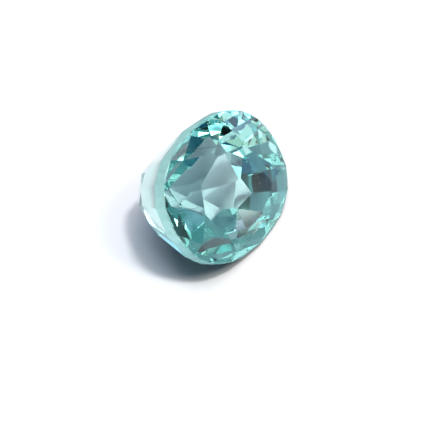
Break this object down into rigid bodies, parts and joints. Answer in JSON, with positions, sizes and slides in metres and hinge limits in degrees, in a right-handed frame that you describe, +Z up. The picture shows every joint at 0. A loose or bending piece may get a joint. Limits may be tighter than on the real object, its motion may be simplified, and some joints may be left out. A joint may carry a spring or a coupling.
{
  "type": "faceted spodumene gemstone",
  "caption": "Cut and polished see-through crystal with a rounded square outline, a flat table and a deep bulging pavilion, lying on one pavilion facet.",
  "frame": {"origin": "middle of the bounding box, at the surface that the stone lies on", "axes": "+Z up from the surface; -Z points out of the pavilion facet that the stone rests on; the table faces +X and -Y, about 20 degrees above the horizontal"},
  "size_m": [0.011, 0.0106, 0.0097],
  "materials": {
    "crystal": "polished, see-through, pale blue-green"
  },
  "bodies": {
    "root": {"faceted_spodumene": "crystal"}
  },
  "joints": []
}
